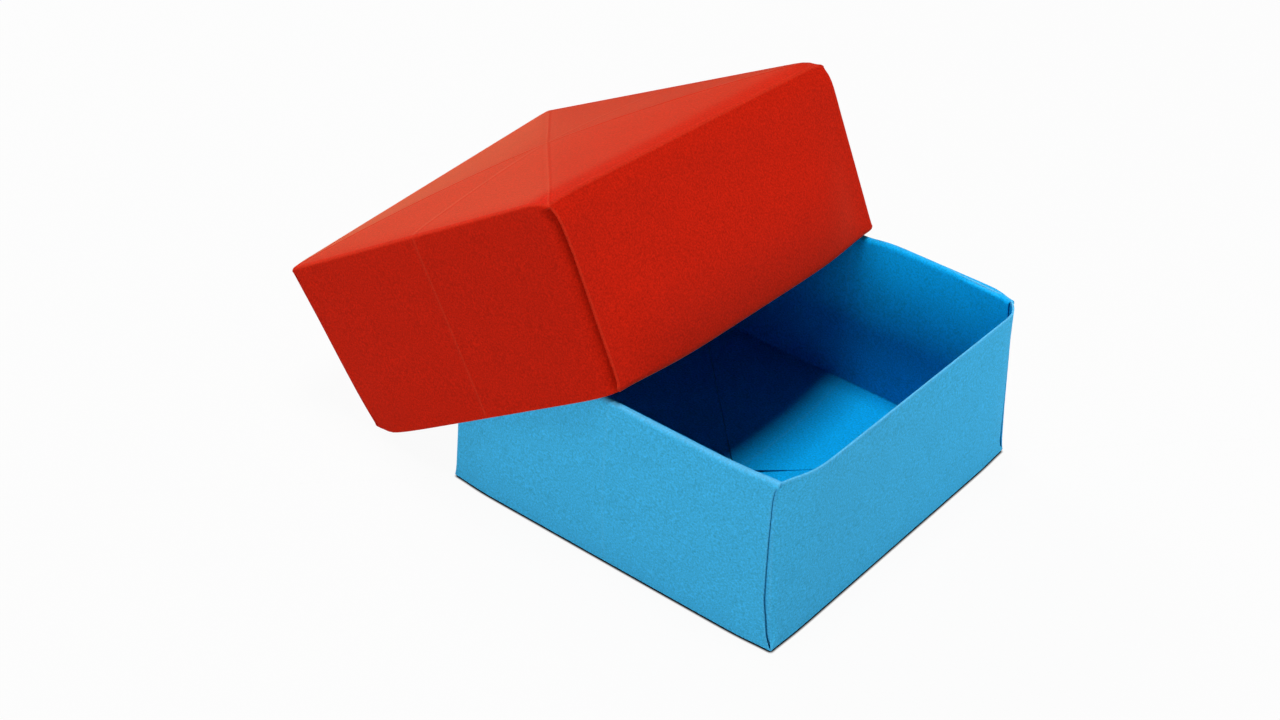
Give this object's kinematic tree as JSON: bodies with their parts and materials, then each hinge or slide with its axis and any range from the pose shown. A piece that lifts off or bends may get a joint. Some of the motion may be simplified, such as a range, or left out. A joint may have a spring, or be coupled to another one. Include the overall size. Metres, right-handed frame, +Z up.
{
  "type": "folded paper box with lid",
  "caption": "Square box of folded paper with a slightly larger lid leaning on its rim, folded the masu way with turned-in walls, corner pleats and floor flaps; keeps small things",
  "frame": {"origin": "centre of the base's floor, on its underside, where it stands on the table", "axes": "Z up out of the base; X along the base's sides from the leaning lid towards the open half; Y across, along the lid's resting edges"},
  "size_m": [0.1141, 0.0758, 0.0688],
  "materials": {
    "base_paper": "matte",
    "lid_paper": "matte"
  },
  "bodies": {
    "root": {"base": "base_paper", "lid": "lid_paper"}
  },
  "joints": []
}
